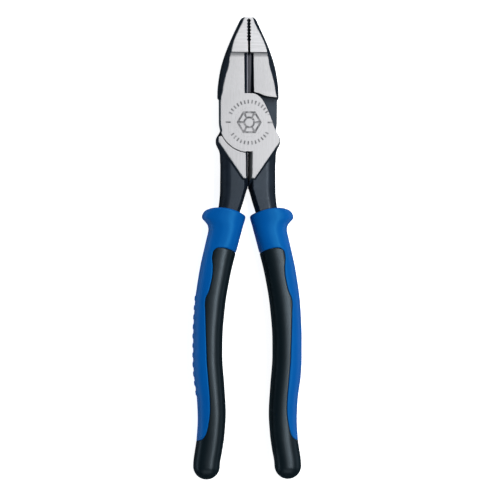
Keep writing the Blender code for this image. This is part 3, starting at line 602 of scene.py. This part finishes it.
def grip_point(y, angle, offset, tip=0.0):
    """A point of the grip's surface moved out by offset: angle 0 is the outer side and 90 the front.
    Past the base of the rounded end, tip is the angle in degrees round that end."""
    lean = smooth(GRIP_LEAN, y)
    out_x, in_x = smooth(GRIP_OUTER, y + lean), smooth(GRIP_INNER, y)
    centre, half_x, half_z = (out_x + in_x) / 2, (out_x - in_x) / 2, smooth(GRIP_HALF_Z, y)
    turn, end = math.radians(angle), math.radians(tip)
    x = centre + (half_x + offset) * power(math.cos(turn)) * math.cos(end)
    fuller = 1 + OUTER_FULLER * power(math.cos(turn))
    z = (half_z + offset) * fuller * power(math.sin(turn)) * math.cos(end)
    share = min(1.0, max(0.0, (x - in_x) / (out_x - in_x)))
    drop = (END_LENGTH + offset) * math.sin(end)
    return (x, y - drop + lean * share + smooth(GRIP_CROWN, y) * 4 * share * (1 - share), z)


def edge_angle(y):
    """Where the soft moulding's edge runs on the section at y."""
    share = smooth(SOFT_EDGE, y)
    return math.degrees(math.acos(share ** (SECTION_POWER / 2)))


def rib_height(y, z):
    """How far the ribs on the outer side stand out at y and z."""
    k = round((FIRST_RIB_Y - y) / RIB_PITCH)
    if not 0 <= k < RIBS:
        return 0.0
    along = (y - (FIRST_RIB_Y - k * RIB_PITCH)) / RIB_HALF
    across = max(0.0, abs(z) - RIB_HALF_Z + RIB_FADE) / RIB_FADE
    reach = 1 - min(1.0, along * along + across * across)
    return RIB_PROUD * min(1.0, RIB_FULLNESS * reach) ** RIB_ROUND if reach > 0 else 0.0


def groove(near):
    """Depth of the rounded groove along the seam, where near is 1 on the seam and 0 at the groove's side."""
    return -SEAM_DEPTH * (1 - math.sqrt(max(0.0, 1 - near * near)))


def grip_ring(y, shown, sunk, edge, shift=0.0, tip=0.0, seam=False, ribbed=False):
    """A section of the grip: shown is its offset on the hard moulding's side of the edge, and sunk is its
    offset on the soft one's."""
    edge = max(ALL_SOFT, edge + shift)
    near = min(SEAM_ANGLE, edge / 2)
    hard = [(edge - near) * k / SHOWN_STEPS for k in range(SHOWN_STEPS)]
    hard += [edge - near * share for share in SEAM_SHARES[::-1]]
    left = 180 - edge - SEAM_ANGLE
    soft = [edge + SEAM_ANGLE * share for share in SEAM_SHARES]
    soft += [180 - left * (1 - k / SUNK_STEPS) for k in range(1, SUNK_STEPS + 1)]
    points = []
    for angles, offset in ((hard, shown), (soft, sunk)):
        for angle in angles:
            dip = 0.0
            if seam and offset > NO_SEAM_DEPTH:
                dip = groove(1 - min(1.0, abs(angle - edge) / SEAM_ANGLE))
            point = grip_point(y, angle, offset + dip, tip)
            lift = rib_height(y, point[2]) if ribbed and angles is hard else 0.0
            points.append(grip_point(y, angle, offset + dip + lift, tip) if lift else point)
    return points + [(px, py, -pz) for px, py, pz in points[1:-1]][::-1]


def soft_stations():
    """Heights of the soft moulding's sections, closest together at both ends of its edge."""
    top = filled([SOFT_TOP, -68.4, -72.0], SOFT_TOP_STEP)
    return top + filled([-73.0, -158.0], SOFT_STEP) + filled([-158.5, BLUE_END], SEAM_STEP)


def collar_rings():
    """The collar's rounded top edge, from its flat top down to the full section."""
    rings = []
    for turn in COLLAR_ANGLES:
        a = math.radians(turn)
        y = COLLAR_TOP - COLLAR_ROUND * (1 - math.sin(a))
        inset = -COLLAR_ROUND * (1 - math.cos(a))
        rings.append(grip_ring(y, inset, inset, edge_angle(SOFT_TOP)))
    return rings


def sleeve_blank(ribbed):
    """The hard moulding before the tang's pocket is cut, sunk where the soft moulding lies on it."""
    top_edge = edge_angle(SOFT_TOP)
    rings = collar_rings()
    body = filled([COLLAR_TOP - COLLAR_ROUND, -57.0], BODY_STEP)[1:] + filled([-58.0, -66.0], NECKED_STEP)
    rings += [grip_ring(y, 0, 0, top_edge) for y in body]
    rings += [grip_ring(SOFT_TOP + rise, 0, -dip, top_edge) for rise, dip in SEAM_RINGS]
    stations = soft_stations()
    if ribbed:
        smooth_part = {y for y in stations if y > RIBBED_TOP or y < RIBBED_END}
        stations = sorted(smooth_part | set(filled([RIBBED_TOP, RIBBED_END], RIB_STEP)), reverse=True)
    last_rise = SEAM_RINGS[-1][0]
    for y in stations:
        place = y if y < SOFT_TOP else SOFT_TOP + last_rise
        rings.append(grip_ring(place, 0, -SHELL, edge_angle(y), seam=True, ribbed=ribbed))
    rings += [grip_ring(y, -SHELL, -SHELL, ALL_SOFT) for y in LOW_STATIONS]
    rings += [grip_ring(GRIP_BASE_Y, -SHELL, -SHELL, ALL_SOFT, tip=tip) for tip in END_ANGLES]
    return loft("sleeve_blank", rings)


def soft_blank():
    rings = []
    for y in soft_stations():
        dip = groove(max(0.0, 1 - (SOFT_TOP - y) / SEAM_ROUND_Y))
        rings.append(grip_ring(y, dip, dip, edge_angle(y), seam=True))
    rings += [grip_ring(y, 0, 0, ALL_SOFT) for y in LOW_STATIONS]
    rings += [grip_ring(GRIP_BASE_Y, 0, 0, ALL_SOFT, tip=tip) for tip in END_ANGLES]
    return loft("soft_blank", rings)


def soft_core():
    """What the soft moulding leaves free: the hard moulding, larger by the gap between them."""
    sunk = SOFT_GAP - SHELL
    rings = [grip_ring(y, CORE_PROUD, sunk, edge_angle(SOFT_TOP), CORE_ANGLE) for y in CORE_TOP]
    lowered = [(y - SOFT_GAP if y < CORE_LOW_Y else y, edge_angle(y)) for y in soft_stations()]
    rings += [grip_ring(y, CORE_PROUD, sunk, edge, CORE_ANGLE) for y, edge in lowered]
    rings += [grip_ring(y - SOFT_GAP, sunk, sunk, ALL_SOFT) for y in LOW_STATIONS[:-1]]
    rings += [grip_ring(GRIP_BASE_Y, sunk, sunk, ALL_SOFT, tip=tip) for tip in [0, *END_ANGLES]]
    return loft("soft_core", rings)


def hard_sleeve(ribbed):
    body = sleeve_blank(ribbed)
    combine(body, neck_blank(TANG_GAP), "DIFFERENCE")
    return baked(body)


def soft_overmold():
    body = soft_blank()
    combine(body, soft_core(), "DIFFERENCE")
    return baked(body)


# ---- materials -----------------------------------------------------------
GROUND, GROUND_ROUGHNESS = (0.51, 0.505, 0.515), 0.5
KNIFE, KNIFE_ROUGHNESS = (0.085, 0.087, 0.1), 0.4
LINE_SHADE, STAIN_SHADE = 0.74, 0.72    # how bright the grinding lines and the stains are beside the steel
NOSE_PAINTED_LIGHT_GAIN = 1.2             # painted light: how much brighter the nose's steel is painted, for the extra light its upward-tilted faces catch
ETCHED, ETCHED_DEPTH, ETCHED_ROUGHER = (0.12, 0.12, 0.125), 0.72, 0.2
DIAL_R, DIAL_HALF, DIAL_TICKS = 10.6, 0.95, 35      # the etched ring of short strokes, in mm about the rivet
DIAL_GAP_Y, DIAL_GAP_HALF, DIAL_GAP_SOFT = -0.6, 4.5, 0.2    # the gaps at the ring's sides
SIDE_STROKE_X, SIDE_STROKE_HALF, SIDE_STROKE_LINE = 10.8, 1.3, 0.42
HEXAGON_REACH, HEXAGON_LINE, HUB_RING_R = 5.1, 0.5, 2.5
SPOKE_R, SPOKE_HALF = 3.9, 1.3


def shader(name, colour, roughness, metallic=0.0, **inputs):
    """A new material and its shader node, whose further inputs are named as on the node."""
    made = bpy.data.materials.new(name)
    made.use_nodes = True
    node = made.node_tree.nodes["Principled BSDF"]
    node.inputs["Base Color"].default_value = (*colour, 1.0)
    node.inputs["Roughness"].default_value = roughness
    node.inputs["Metallic"].default_value = metallic
    for key, value in inputs.items():
        node.inputs[key.replace("_", " ").title().replace("Ior", "IOR")].default_value = value
    return made, node


class Nodes:
    """Short calls for building a material's nodes."""

    def __init__(self, material):
        self.tree = material.node_tree

    def add(self, kind, **values):
        node = self.tree.nodes.new(kind)
        for key, value in values.items():
            setattr(node, key, value)
        return node

    def link(self, source, target):
        self.tree.links.new(source, target)

    def place(self, scale):
        """Object coordinates stretched by scale, which fixes a pattern to its piece."""
        coordinates = self.add("ShaderNodeTexCoord")
        mapping = self.add("ShaderNodeMapping")
        mapping.inputs["Scale"].default_value = scale
        self.link(coordinates.outputs["Object"], mapping.inputs["Vector"])
        return mapping.outputs["Vector"]

    def noise(self, scale, stretch=(1, 1, 1), detail=3.0, roughness=0.5):
        node = self.add("ShaderNodeTexNoise")
        node.inputs["Scale"].default_value = scale
        node.inputs["Detail"].default_value = detail
        node.inputs["Roughness"].default_value = roughness
        self.link(self.place(stretch), node.inputs["Vector"])
        return node.outputs["Fac"]

    def ramp(self, value, low, high, start=0.3, end=0.7):
        """value between start and end spread over low to high."""
        node = self.add("ShaderNodeMapRange")
        for key, number in (("From Min", start), ("From Max", end), ("To Min", low), ("To Max", high)):
            node.inputs[key].default_value = number
        self.link(value, node.inputs["Value"])
        return node.outputs["Result"]

    def math(self, operation, a, b=0.0, clamp=False):
        node = self.add("ShaderNodeMath", operation=operation, use_clamp=clamp)
        for socket, value in zip(node.inputs, (a, b)):
            if isinstance(value, (int, float)):
                socket.default_value = value
            else:
                self.link(value, socket)
        return node.outputs["Value"]

    def blend(self, fac, a, b):
        node = self.add("ShaderNodeMix", data_type="RGBA")
        self.link(fac, node.inputs["Factor"])
        for socket, value in zip((node.inputs["A"], node.inputs["B"]), (a, b)):
            if isinstance(value, tuple):
                socket.default_value = (*value, 1.0)
            else:
                self.link(value, socket)
        return node.outputs["Result"]

    def bump(self, height, strength, distance, normal=None):
        node = self.add("ShaderNodeBump")
        node.inputs["Strength"].default_value = strength
        node.inputs["Distance"].default_value = distance
        self.link(height, node.inputs["Height"])
        if normal is not None:
            self.link(normal, node.inputs["Normal"])
        return node.outputs["Normal"]


def etched_mark(nodes):
    """A plain etched dial about the rivet: a ring of short strokes with a gap and a longer stroke at each
    side, and in its middle a hexagon joined by spokes to a small ring."""
    split = nodes.add("ShaderNodeSeparateXYZ")
    centre = nodes.add("ShaderNodeVectorMath", operation="SUBTRACT")
    coordinates = nodes.add("ShaderNodeTexCoord")
    nodes.link(coordinates.outputs["Object"], centre.inputs[0])
    centre.inputs[1].default_value = (PIVOT.x, PIVOT.y, 0)
    nodes.link(centre.outputs["Vector"], split.inputs["Vector"])
    x, y = (nodes.math("MULTIPLY", split.outputs[axis], 1 / MM) for axis in ("X", "Y"))
    radius = nodes.math("SQRT", nodes.math("ADD", nodes.math("MULTIPLY", x, x), nodes.math("MULTIPLY", y, y)))
    angle = nodes.math("ARCTAN2", y, x)

    def band(value, middle, half, soft=0.12):
        off = nodes.math("ABSOLUTE", nodes.math("SUBTRACT", value, middle))
        return nodes.ramp(off, 1.0, 0.0, half - soft, half + soft)

    def both(a, b):
        return nodes.math("MULTIPLY", a, b)

    def either(a, b):
        return nodes.math("MAXIMUM", a, b)

    turns = nodes.math("MULTIPLY", angle, DIAL_TICKS / 2 / math.pi)
    strokes = both(band(radius, DIAL_R, DIAL_HALF), band(nodes.math("PINGPONG", turns, 0.5), 0.0, 0.2, 0.05))
    off_gap = nodes.math("ABSOLUTE", nodes.math("SUBTRACT", y, DIAL_GAP_Y))
    in_ring = nodes.ramp(off_gap, 0.0, 1.0, DIAL_GAP_HALF - DIAL_GAP_SOFT, DIAL_GAP_HALF + DIAL_GAP_SOFT)
    strokes = both(strokes, in_ring)
    side_across = band(nodes.math("ABSOLUTE", x), SIDE_STROKE_X, SIDE_STROKE_HALF)
    side_strokes = both(side_across, band(y, 0.0, SIDE_STROKE_LINE))

    folded = nodes.math("PINGPONG", nodes.math("ADD", angle, math.pi), math.pi / 6)
    across = nodes.math("MULTIPLY", radius, nodes.math("COSINE", nodes.math("SUBTRACT", folded, math.pi / 6)))
    hexagon = either(band(across, HEXAGON_REACH, HEXAGON_LINE), band(radius, HUB_RING_R, HEXAGON_LINE))
    spokes = both(band(folded, 0.0, 0.13, 0.03), band(radius, SPOKE_R, SPOKE_HALF))

    mark = either(either(strokes, hexagon), either(spokes, side_strokes))
    grain = nodes.ramp(nodes.noise(900, detail=2.0), 0.45, 1.0, 0.35, 0.6)
    return both(mark, grain)


def on_nose(nodes):
    """1 on the nose, which is ground last and across the tool, and 0 below its ledge. It also marks where the
    steel is painted brighter, as painted light.
    """
    split = nodes.add("ShaderNodeSeparateXYZ")
    nodes.link(nodes.add("ShaderNodeTexCoord").outputs["Object"], split.inputs["Vector"])
    ledge = PIVOT.y + LEDGE_Y * MM
    return nodes.ramp(split.outputs["Y"], 0.0, 1.0, ledge - 0.1 * MM, ledge + 0.1 * MM)


def dimmed(colour, share):
    return tuple(c * share for c in colour)


def ground_steel(name, colour, roughness, etched):
    """Steel with fine grinding lines, along the tool and across its nose, faint stains, and the nose painted
    brighter as painted light.
    """
    material, node = shader(name, colour, roughness, metallic=1.0)
    nodes = Nodes(material)
    nose = on_nose(nodes)
    fine = nodes.noise(260, (9, 0.35, 9), detail=5.0, roughness=0.65)
    coarse = nodes.noise(60, (7, 0.5, 7), detail=3.0)
    across = nodes.noise(160, (0.3, 9, 9), detail=4.0, roughness=0.6)
    stain = nodes.noise(110, detail=4.0)
    lines = nodes.math("ADD", nodes.math("MULTIPLY", fine, 0.7), nodes.math("MULTIPLY", coarse, 0.3))
    lines = nodes.blend(nose, lines, across)
    shade = nodes.blend(nodes.ramp(lines, 0.0, 1.0, 0.36, 0.64), dimmed(colour, LINE_SHADE), colour)
    # painted light: the nose's colour is scaled up, standing in for the brighter light on its tilted faces
    bright = nodes.add("ShaderNodeVectorMath", operation="SCALE")
    nodes.link(shade, bright.inputs[0])
    nodes.link(nodes.ramp(nose, 1.0, NOSE_PAINTED_LIGHT_GAIN, 0.0, 1.0), bright.inputs["Scale"])
    shade = bright.outputs["Vector"]
    shade = nodes.blend(nodes.ramp(stain, 0.0, 0.28, 0.45, 0.75), shade, dimmed(colour, STAIN_SHADE))
    rough = nodes.ramp(lines, roughness - 0.07, roughness + 0.09, 0.35, 0.65)
    if etched:
        mark = etched_mark(nodes)
        shade = nodes.blend(nodes.math("MULTIPLY", mark, ETCHED_DEPTH), shade, ETCHED)
        rough = nodes.math("ADD", rough, nodes.math("MULTIPLY", mark, ETCHED_ROUGHER))
    nodes.link(shade, node.inputs["Base Color"])
    nodes.link(rough, node.inputs["Roughness"])
    nodes.link(nodes.bump(lines, 0.32, 0.00004), node.inputs["Normal"])
    return material


def forging_scale():
    """Black oxide over a forged surface, with a lower specular level on the sides than on the flats: painted
    shade that darkens the sides.
    """
    colour = (0.006, 0.010, 0.017)
    material, node = shader("forging_scale", colour, 0.42, specular_ior_level=0.5)
    node.inputs["Specular Tint"].default_value = (0.72, 0.85, 1.0, 1.0)
    nodes = Nodes(material)
    facing = nodes.add("ShaderNodeSeparateXYZ")
    nodes.link(nodes.add("ShaderNodeTexCoord").outputs["Normal"], facing.inputs["Vector"])
    # painted shade: a lower specular level on faces turned sideways darkens the sides
    sides = nodes.math("ABSOLUTE", facing.outputs["X"])
    nodes.link(nodes.ramp(sides, 0.5, 0.16, 0.35, 0.75), node.inputs["Specular IOR Level"])
    grain = nodes.noise(900, detail=4.0, roughness=0.6)
    patches = nodes.noise(140, detail=3.0)
    shade = nodes.blend(nodes.ramp(patches, 0.0, 1.0), colour, (0.011, 0.017, 0.028))
    nodes.link(shade, node.inputs["Base Color"])
    nodes.link(nodes.ramp(grain, 0.36, 0.52), node.inputs["Roughness"])
    both = nodes.math("ADD", grain, nodes.math("MULTIPLY", patches, 1.5))
    nodes.link(nodes.bump(both, 0.25, 0.00012), node.inputs["Normal"])
    return material


def slot_wall_painted_light():
    """Patchy grey on one wall of the slot under the hub: painted light, standing in for the light that wall
    catches.
    """
    colour = (0.36, 0.355, 0.36)
    material, node = shader("slot_wall_painted_light", colour, 0.6)
    nodes = Nodes(material)
    patches = nodes.ramp(nodes.noise(300, detail=3.0), 0.0, 1.0)
    nodes.link(nodes.blend(patches, colour, (0.26, 0.25, 0.24)), node.inputs["Base Color"])
    return material


def blue_moulding():
    """Hard blue plastic with a fine spark-eroded texture."""
    colour = (0.0008, 0.112, 0.44)
    material, node = shader("blue_moulding", colour, 0.4, specular_ior_level=0.45)
    node.inputs["Specular Tint"].default_value = (0.08, 0.62, 1.0, 1.0)
    nodes = Nodes(material)
    grain = nodes.noise(2600, detail=2.0)
    drift = nodes.noise(35, detail=2.0)
    shade = nodes.blend(nodes.ramp(drift, 0.0, 1.0), colour, (0.0008, 0.098, 0.4))
    nodes.link(shade, node.inputs["Base Color"])
    nodes.link(nodes.ramp(grain, 0.36, 0.44), node.inputs["Roughness"])
    nodes.link(nodes.bump(grain, 0.12, 0.00003), node.inputs["Normal"])
    return material


def black_moulding():
    """Soft black rubber-like plastic, satin, with a leathery grain."""
    colour = (0.0015, 0.005, 0.0075)
    material, node = shader("black_moulding", colour, 0.38, specular_ior_level=0.52)
    node.inputs["Specular Tint"].default_value = (0.72, 0.88, 1.0, 1.0)
    nodes = Nodes(material)
    grain = nodes.noise(1500, detail=3.0, roughness=0.6)
    drift = nodes.noise(60, detail=2.0)
    shade = nodes.blend(nodes.ramp(drift, 0.0, 1.0), colour, (0.0025, 0.0070, 0.0100))
    nodes.link(shade, node.inputs["Base Color"])
    nodes.link(nodes.ramp(grain, 0.34, 0.42), node.inputs["Roughness"])
    nodes.link(nodes.bump(grain, 0.22, 0.00006), node.inputs["Normal"])
    return material


# ---- studio --------------------------------------------------------------
def studio_floor():
    """A pale, faintly glowing floor that the tool's reflections leave out."""
    bm = bmesh.new()
    bmesh.ops.create_circle(bm, cap_ends=True, radius=6.0, segments=96)
    mesh = finish_mesh("studio_floor", bm)
    floor = bpy.data.objects.new("studio_floor", mesh)
    bpy.context.scene.collection.objects.link(floor)
    material, node = shader("studio_floor", (0.86, 0.87, 0.88), 0.8, emission_strength=0.9)
    node.inputs["Emission Color"].default_value = (1.0, 1.0, 1.0, 1.0)
    nodes = Nodes(material)
    tone = nodes.blend(nodes.ramp(nodes.noise(4), 0.0, 1.0), (0.86, 0.87, 0.88), (0.88, 0.89, 0.90))
    nodes.link(tone, node.inputs["Base Color"])
    mesh.materials.append(material)
    floor.visible_glossy = False


def aimed(target, back, distance):
    """The place of a light or camera that looks at target from distance away, with +Y up."""
    right = Vector((0, 1, 0)).cross(back).normalized()
    turn = Matrix((right, back.cross(right), back)).transposed().to_4x4()
    return Matrix.Translation(target + back * distance) @ turn


def softbox(name, azimuth, elevation, distance, width, height, power, colour=(1, 1, 1)):
    """An area light aimed at the tool: azimuth turns from +Z towards +X, elevation lifts towards +Y."""
    light = bpy.data.lights.new(name, "AREA")
    light.shape = "RECTANGLE"
    light.size, light.size_y = width, height
    light.energy = power
    light.color = colour
    lamp = bpy.data.objects.new(name, light)
    a, e = math.radians(azimuth), math.radians(elevation)
    towards = Vector((math.sin(a) * math.cos(e), math.sin(e), math.cos(a) * math.cos(e)))
    lamp.matrix_world = aimed(Vector((0, 0, PIVOT.z)), towards, distance)
    bpy.context.scene.collection.objects.link(lamp)


def studio_lights():
    """Area lights round the tool, and a sky that lights it faintly but shows as a pale backdrop."""
    softbox("strip_right", 20.5, 10, 1.0, 0.19, 1.0, 8.0)
    softbox("side_right", 84, 4, 1.0, 0.4, 1.2, 1.2, (0.8, 0.92, 1.0))
    softbox("side_left", -92, 0, 1.0, 0.3, 1.2, 1.6, (0.75, 0.9, 1.0))
    softbox("top", 0, 60, 1.2, 1.2, 0.4, 2.0)
    softbox("low", 0, -52, 1.2, 1.0, 0.4, 1.4)
    world = bpy.data.worlds.new("studio")
    bpy.context.scene.world = world
    world.use_nodes = True
    background = world.node_tree.nodes["Background"]
    background.inputs["Color"].default_value = (0.5, 0.8, 1.0, 1.0)
    background.inputs["Strength"].default_value = 0.08
    tree = world.node_tree
    backdrop = tree.nodes.new("ShaderNodeBackground")
    backdrop.inputs["Color"].default_value = (0.86, 0.88, 0.9, 1.0)
    seen = tree.nodes.new("ShaderNodeLightPath")
    mix = tree.nodes.new("ShaderNodeMixShader")
    tree.links.new(seen.outputs["Is Camera Ray"], mix.inputs["Fac"])
    tree.links.new(background.outputs["Background"], mix.inputs[1])
    tree.links.new(backdrop.outputs["Background"], mix.inputs[2])
    tree.links.new(mix.outputs["Shader"], tree.nodes["World Output"].inputs["Surface"])


def camera():
    data = bpy.data.cameras.new("camera")
    data.sensor_width = SENSOR
    data.lens = LENS
    data.clip_end = 20
    obj = bpy.data.objects.new("camera", data)
    yaw, roll = math.radians(VIEW_YAW), math.radians(VIEW_ROLL)
    back = Vector((-math.sin(yaw), 0, math.cos(yaw)))
    place = aimed(Vector((*VIEW_TARGET, PIVOT.z)), back, VIEW_DISTANCE)
    obj.matrix_world = place @ Matrix.Rotation(roll, 4, "Z")
    bpy.context.scene.collection.objects.link(obj)
    bpy.context.scene.camera = obj


def corners(bounds):
    return [[float(value) for value in corner] for corner in bounds]


# ---- the tool ------------------------------------------------------------
for leftover in list(bpy.data.objects):
    bpy.data.objects.remove(leftover)
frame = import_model()
PIVOT = Vector(frame["joints"][0]["pos_m"])
FRONT, REAR = frame["joints"][0]["child"], frame["joints"][0]["parent"]
HELPERS = collection("cutters")

bright = ground_steel("ground_steel", GROUND, GROUND_ROUGHNESS, etched=True)
dark_ground = ground_steel("knife_steel", KNIFE, KNIFE_ROUGHNESS, etched=False)
steel = [bright, forging_scale(), dark_ground, slot_wall_painted_light()]    # in the order of the material indexes
blue, black = [blue_moulding()], [black_moulding()]

forging = half_forging()
piece("front_forging", forging, FRONT, "front_half", steel)
piece("rear_forging", forging, REAR, "rear_half", steel, half_turn=True)
piece("ground_rivet", rivet(), REAR, "joint_rivet", [bright])
overmold = soft_overmold()
piece("right_hard_moulding", hard_sleeve(False), FRONT, "right_grip_sleeve", blue)
piece("right_soft_moulding", overmold, FRONT, "right_grip_overmold", black)
piece("left_hard_moulding", hard_sleeve(True), REAR, "left_grip_sleeve", blue, half_turn=True)
piece("left_soft_moulding", overmold, REAR, "left_grip_overmold", black, half_turn=True)
clear_helpers()

studio_floor()
studio_lights()
camera()
bpy.context.scene.view_settings.view_transform = "Standard"
